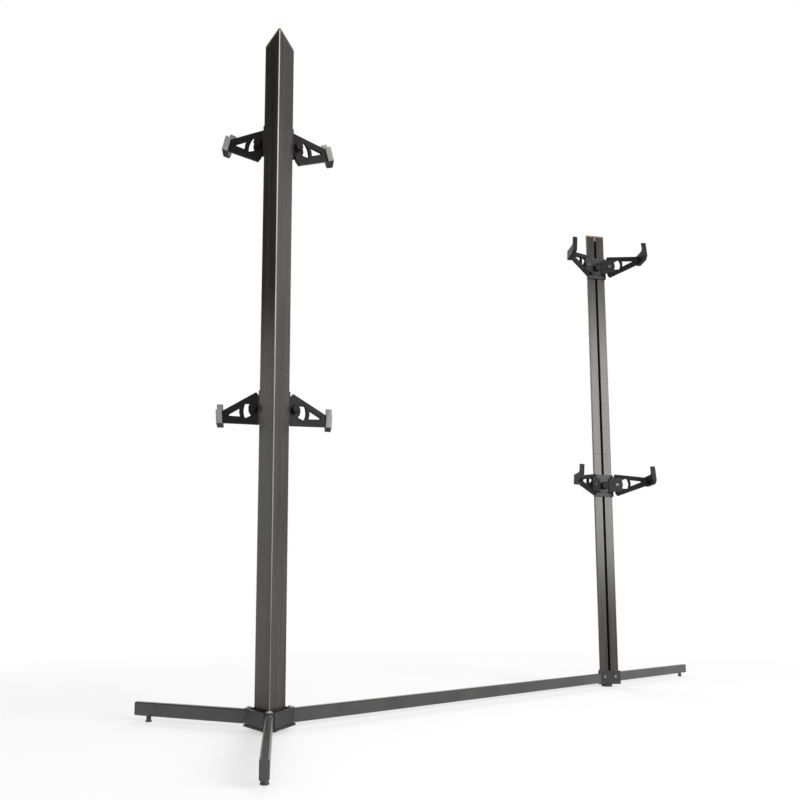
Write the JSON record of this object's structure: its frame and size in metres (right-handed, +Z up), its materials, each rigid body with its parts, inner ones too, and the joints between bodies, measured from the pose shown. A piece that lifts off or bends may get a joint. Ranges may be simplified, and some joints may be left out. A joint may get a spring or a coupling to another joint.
{
  "type": "bike parking stand",
  "caption": "Floor stand with slotted triangular columns joined by a beam, on splayed legs, with sliding cradles whose padded truss arms hold bikes by the top tube.",
  "frame": {"origin": "on the floor, under the axis of the left column, at the sole of its fixed pad", "axes": "+Z up, +Y out of the left column's slotted face, +X to the right along that face; the beam runs 30 degrees from +X towards +Y"},
  "size_m": [2.4522, 1.7687, 2.05],
  "materials": {
    "column_black": "satin black coat",
    "channel_metal": "satin black coat",
    "leg_steel": "satin black paint",
    "hub_steel": "satin black paint",
    "bracket_steel": "matt black paint",
    "cap_plastic": "matt, brownish dark grey",
    "black_plastic": "fine grain, matt",
    "foot_plastic": "matt",
    "liner_rubber": "soft, matt grey",
    "zinc_steel": "zinc plated"
  },
  "bodies": {
    "stand": {"beam": "leg_steel", "front_end_cap": "black_plastic", "front_leg": "leg_steel", "left_column_cap": "cap_plastic", "left_column_lower": "column_black", "left_column_upper": "column_black", "left_end_cap": "black_plastic", "left_floor_pad": "foot_plastic", "left_foot_channel": "channel_metal", "left_hub": "hub_steel", "left_leg": "leg_steel", "left_splice_channel": "channel_metal", "right_column_cap": "cap_plastic", "right_column_lower": "column_black", "right_column_upper": "column_black", "right_end_cap": "black_plastic", "right_floor_pad": "foot_plastic", "right_foot_channel": "channel_metal", "right_leg": "leg_steel", "right_sleeve": "hub_steel", "right_splice_channel": "channel_metal"},
    "left_upper_cradle": {"left_upper_bracket": "bracket_steel", "left_upper_tee_bolt": "zinc_steel"},
    "left_upper_lock": {"left_upper_lock_knob": "black_plastic"},
    "left_upper_tilt_arm_1": {"left_upper_arm_1": "black_plastic", "left_upper_liner_1": "liner_rubber"},
    "left_upper_grip_1": {"left_upper_knob_1": "black_plastic"},
    "left_upper_tilt_arm_2": {"left_upper_arm_2": "black_plastic", "left_upper_liner_2": "liner_rubber"},
    "left_upper_grip_2": {"left_upper_knob_2": "black_plastic"},
    "left_lower_cradle": {"left_lower_bracket": "bracket_steel", "left_lower_tee_bolt": "zinc_steel"},
    "left_lower_lock": {"left_lower_lock_knob": "black_plastic"},
    "left_lower_tilt_arm_1": {"left_lower_arm_1": "black_plastic", "left_lower_liner_1": "liner_rubber"},
    "left_lower_grip_1": {"left_lower_knob_1": "black_plastic"},
    "left_lower_tilt_arm_2": {"left_lower_arm_2": "black_plastic", "left_lower_liner_2": "liner_rubber"},
    "left_lower_grip_2": {"left_lower_knob_2": "black_plastic"},
    "right_upper_cradle": {"right_upper_bracket": "bracket_steel", "right_upper_tee_bolt": "zinc_steel"},
    "right_upper_lock": {"right_upper_lock_knob": "black_plastic"},
    "right_upper_tilt_arm_1": {"right_upper_arm_1": "black_plastic", "right_upper_liner_1": "liner_rubber"},
    "right_upper_grip_1": {"right_upper_knob_1": "black_plastic"},
    "right_upper_tilt_arm_2": {"right_upper_arm_2": "black_plastic", "right_upper_liner_2": "liner_rubber"},
    "right_upper_grip_2": {"right_upper_knob_2": "black_plastic"},
    "right_lower_cradle": {"right_lower_bracket": "bracket_steel", "right_lower_tee_bolt": "zinc_steel"},
    "right_lower_lock": {"right_lower_lock_knob": "black_plastic"},
    "right_lower_tilt_arm_1": {"right_lower_arm_1": "black_plastic", "right_lower_liner_1": "liner_rubber"},
    "right_lower_grip_1": {"right_lower_knob_1": "black_plastic"},
    "right_lower_tilt_arm_2": {"right_lower_arm_2": "black_plastic", "right_lower_liner_2": "liner_rubber"},
    "right_lower_grip_2": {"right_lower_knob_2": "black_plastic"},
    "left_foot": {"left_levelling_foot": "foot_plastic"},
    "front_foot": {"front_levelling_foot": "foot_plastic"},
    "right_foot": {"right_levelling_foot": "foot_plastic"}
  },
  "joints": [
    {"name": "left_upper_height", "type": "slide", "parent": "stand", "child": "left_upper_cradle", "axis": [0, 0, 1], "range_m": [-0.3, 0.22]},
    {"name": "left_upper_lock_turn", "type": "hinge", "parent": "left_upper_cradle", "child": "left_upper_lock", "pos_m": [0, 0.03471, 1.745], "axis": [0, 1, 0], "continuous": true},
    {"name": "left_upper_tilt_1", "type": "hinge", "parent": "left_upper_cradle", "child": "left_upper_tilt_arm_1", "pos_m": [0.05329, 0.04937, 1.745], "axis": [0.5, -0.866, 0], "range_deg": [-48, 12]},
    {"name": "left_upper_grip_turn_1", "type": "hinge", "parent": "left_upper_cradle", "child": "left_upper_grip_1", "pos_m": [0.05329, 0.04937, 1.745], "axis": [0.5, -0.866, 0], "continuous": true},
    {"name": "left_upper_tilt_2", "type": "hinge", "parent": "left_upper_cradle", "child": "left_upper_tilt_arm_2", "pos_m": [-0.05329, 0.04937, 1.745], "axis": [0.5, 0.866, 0], "range_deg": [-48, 12]},
    {"name": "left_upper_grip_turn_2", "type": "hinge", "parent": "left_upper_cradle", "child": "left_upper_grip_2", "pos_m": [-0.05329, 0.04937, 1.745], "axis": [0.5, 0.866, 0], "continuous": true},
    {"name": "left_lower_height", "type": "slide", "parent": "stand", "child": "left_lower_cradle", "axis": [0, 0, 1], "range_m": [-0.6, 0.25]},
    {"name": "left_lower_lock_turn", "type": "hinge", "parent": "left_lower_cradle", "child": "left_lower_lock", "pos_m": [0, 0.03471, 0.92], "axis": [0, 1, 0], "continuous": true},
    {"name": "left_lower_tilt_1", "type": "hinge", "parent": "left_lower_cradle", "child": "left_lower_tilt_arm_1", "pos_m": [0.05329, 0.04937, 0.92], "axis": [0.5, -0.866, 0], "range_deg": [-26, 34]},
    {"name": "left_lower_grip_turn_1", "type": "hinge", "parent": "left_lower_cradle", "child": "left_lower_grip_1", "pos_m": [0.05329, 0.04937, 0.92], "axis": [0.5, -0.866, 0], "continuous": true},
    {"name": "left_lower_tilt_2", "type": "hinge", "parent": "left_lower_cradle", "child": "left_lower_tilt_arm_2", "pos_m": [-0.05329, 0.04937, 0.92], "axis": [0.5, 0.866, 0], "range_deg": [-26, 34]},
    {"name": "left_lower_grip_turn_2", "type": "hinge", "parent": "left_lower_cradle", "child": "left_lower_grip_2", "pos_m": [-0.05329, 0.04937, 0.92], "axis": [0.5, 0.866, 0], "continuous": true},
    {"name": "right_upper_height", "type": "slide", "parent": "stand", "child": "right_upper_cradle", "axis": [0, 0, 1], "range_m": [-0.45, 0.09]},
    {"name": "right_upper_lock_turn", "type": "hinge", "parent": "right_upper_cradle", "child": "right_upper_lock", "pos_m": [1.4376, 0.79529, 1.89], "axis": [0, -1, 0], "continuous": true},
    {"name": "right_upper_tilt_1", "type": "hinge", "parent": "right_upper_cradle", "child": "right_upper_tilt_arm_1", "pos_m": [1.38431, 0.78063, 1.89], "axis": [-0.5, 0.866, 0], "range_deg": [-35, 25]},
    {"name": "right_upper_grip_turn_1", "type": "hinge", "parent": "right_upper_cradle", "child": "right_upper_grip_1", "pos_m": [1.38431, 0.78063, 1.89], "axis": [-0.5, 0.866, 0], "continuous": true},
    {"name": "right_upper_tilt_2", "type": "hinge", "parent": "right_upper_cradle", "child": "right_upper_tilt_arm_2", "pos_m": [1.49089, 0.78063, 1.89], "axis": [-0.5, -0.866, 0], "range_deg": [-35, 25]},
    {"name": "right_upper_grip_turn_2", "type": "hinge", "parent": "right_upper_cradle", "child": "right_upper_grip_2", "pos_m": [1.49089, 0.78063, 1.89], "axis": [-0.5, -0.866, 0], "continuous": true},
    {"name": "right_lower_height", "type": "slide", "parent": "stand", "child": "right_lower_cradle", "axis": [0, 0, 1], "range_m": [-0.56, 0.27]},
    {"name": "right_lower_lock_turn", "type": "hinge", "parent": "right_lower_cradle", "child": "right_lower_lock", "pos_m": [1.4376, 0.79529, 0.88], "axis": [0, -1, 0], "continuous": true},
    {"name": "right_lower_tilt_1", "type": "hinge", "parent": "right_lower_cradle", "child": "right_lower_tilt_arm_1", "pos_m": [1.38431, 0.78063, 0.88], "axis": [-0.5, 0.866, 0], "range_deg": [-35, 25]},
    {"name": "right_lower_grip_turn_1", "type": "hinge", "parent": "right_lower_cradle", "child": "right_lower_grip_1", "pos_m": [1.38431, 0.78063, 0.88], "axis": [-0.5, 0.866, 0], "continuous": true},
    {"name": "right_lower_tilt_2", "type": "hinge", "parent": "right_lower_cradle", "child": "right_lower_tilt_arm_2", "pos_m": [1.49089, 0.78063, 0.88], "axis": [-0.5, -0.866, 0], "range_deg": [-35, 25]},
    {"name": "right_lower_grip_turn_2", "type": "hinge", "parent": "right_lower_cradle", "child": "right_lower_grip_2", "pos_m": [1.49089, 0.78063, 0.88], "axis": [-0.5, -0.866, 0], "continuous": true},
    {"name": "left_foot_turn", "type": "hinge", "parent": "stand", "child": "left_foot", "pos_m": [-0.35853, 0.207, 0], "axis": [0, 0, 1], "continuous": true},
    {"name": "front_foot_turn", "type": "hinge", "parent": "stand", "child": "front_foot", "pos_m": [0, -0.534, 0], "axis": [0, 0, 1], "continuous": true},
    {"name": "right_foot_turn", "type": "hinge", "parent": "stand", "child": "right_foot", "pos_m": [2.00398, 1.157, 0], "axis": [0, 0, 1], "continuous": true}
  ]
}
